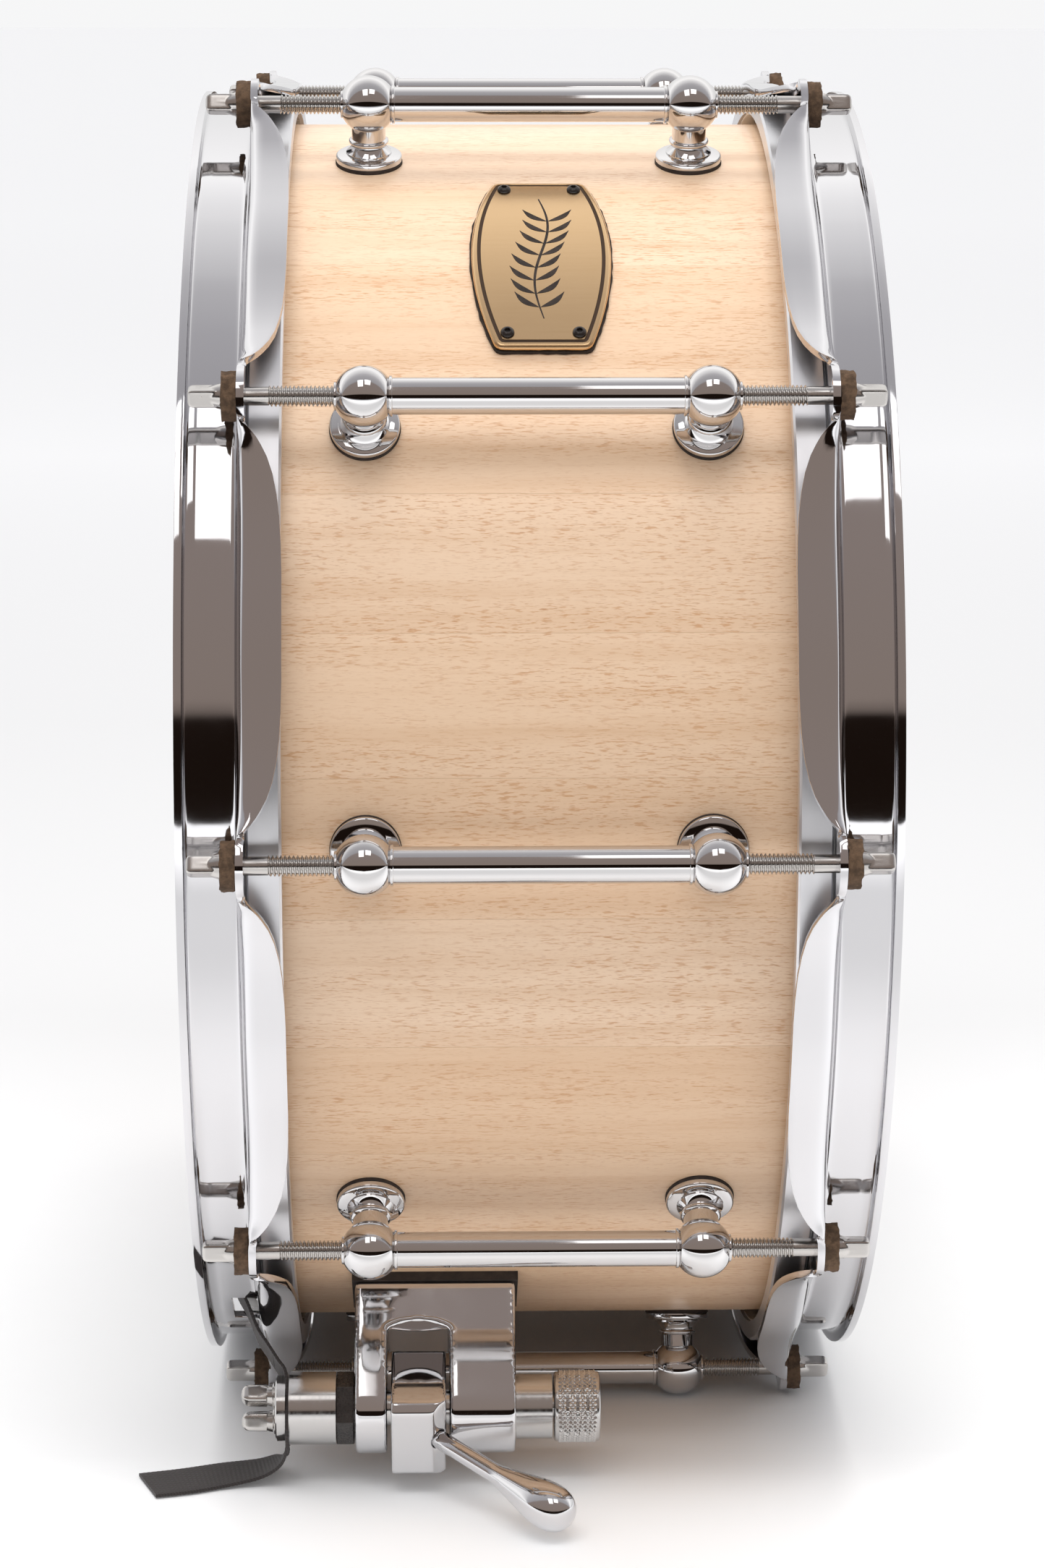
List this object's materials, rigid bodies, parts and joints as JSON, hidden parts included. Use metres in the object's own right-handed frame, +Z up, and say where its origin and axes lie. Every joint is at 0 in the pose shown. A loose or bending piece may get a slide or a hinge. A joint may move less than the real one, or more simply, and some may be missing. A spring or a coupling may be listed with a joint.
{
  "type": "snare drum",
  "caption": "Wooden stave snare drum with tube lugs, flanged hoops, snares, strap and a lever throw-off with a fine-tension knob.",
  "frame": {"origin": "on the floor under the middle of the whole object, drum lying on its side on four hoop ears", "axes": "+X along the drum axis towards the batter head, +Z up, -Y towards the side with the lever and the badge"},
  "size_m": [0.2044, 0.406, 0.387],
  "materials": {
    "stave_wood": "clear satin lacquer over steamed staves",
    "coated_film": "sprayed white coating",
    "clear_film": "thin hazy film",
    "flesh_aluminium": "satin",
    "hoop_chrome": "polished",
    "rod_chrome": "polished",
    "washer_leather": "raw cut edge",
    "lug_chrome": "polished",
    "gasket_rubber": "matt",
    "plain_steel": "zinc plated",
    "badge_brass": "brushed with a clear coat",
    "dark_screw": "black oxide",
    "grommet_brass": "polished",
    "strainer_chrome": "polished",
    "piston_steel": "fine turned",
    "dark_bush": "black anodised",
    "strap_ribbon": "ribbed ribbon",
    "snare_steel": "coiled wire",
    "plate_brass": "stamped"
  },
  "bodies": {
    "drum": {"shell": "stave_wood", "batter_film": "coated_film", "snare_film": "clear_film", "batter_flesh_hoop": "flesh_aluminium", "snare_flesh_hoop": "flesh_aluminium", "batter_hoop": "hoop_chrome", "snare_hoop": "hoop_chrome", "batter_rods": "rod_chrome", "snare_rods": "rod_chrome", "batter_washers": "washer_leather", "snare_washers": "washer_leather", "lug_tubes": "lug_chrome", "lug_posts": "lug_chrome", "lug_gaskets": "gasket_rubber", "lug_screws": "plain_steel", "lug_washers": "plain_steel", "badge_gasket": "gasket_rubber", "badge_plate": "badge_brass", "badge_screws": "dark_screw", "vent_grommet": "grommet_brass", "strainer_gasket": "gasket_rubber", "strainer_body": "strainer_chrome", "strainer_screws": "plain_steel", "strap_lead": "strap_ribbon", "snare_wires": "snare_steel", "snare_plate": "plate_brass", "butt_snare_plate": "plate_brass", "butt_strap": "strap_ribbon", "butt_gasket": "gasket_rubber", "butt_body": "strainer_chrome", "butt_clamp": "strainer_chrome", "butt_clamp_screws": "rod_chrome", "butt_mount_screws": "plain_steel"},
    "lever": {"lever_block": "strainer_chrome", "lever_rod": "strainer_chrome", "lever_knob": "strainer_chrome"},
    "piston": {"piston": "piston_steel", "hex_bush": "dark_bush"},
    "tension": {"tension_knob": "piston_steel", "tension_screw": "piston_steel"},
    "clamp": {"clamp_cylinder": "piston_steel", "clamp_plate": "piston_steel", "clamp_screws": "rod_chrome", "strap_grip": "strap_ribbon", "strap_tail": "strap_ribbon"}
  },
  "joints": [
    {"name": "lever_throw", "type": "hinge", "parent": "drum", "child": "lever", "pos_m": [-0.0227, -0.12508, 0.02135], "axis": [1, 0, 0], "range_deg": [0, 76]},
    {"name": "piston_slide", "type": "slide", "parent": "drum", "child": "piston", "axis": [1, 0, 0], "range_m": [-0.007, 0]},
    {"name": "tension_turn", "type": "hinge", "parent": "piston", "child": "tension", "pos_m": [0.0213, -0.12508, 0.02135], "axis": [1, 0, 0], "range_deg": [0, 720]},
    {"name": "clamp_slide", "type": "slide", "parent": "piston", "child": "clamp", "axis": [1, 0, 0], "range_m": [-0.002, 0]}
  ],
  "couplings": [
    {"joint": "piston_slide", "follows": "lever_throw", "m_per_rad": -0.005277},
    {"joint": "tension_turn", "follows": "clamp_slide", "rad_per_m": -6283}
  ]
}
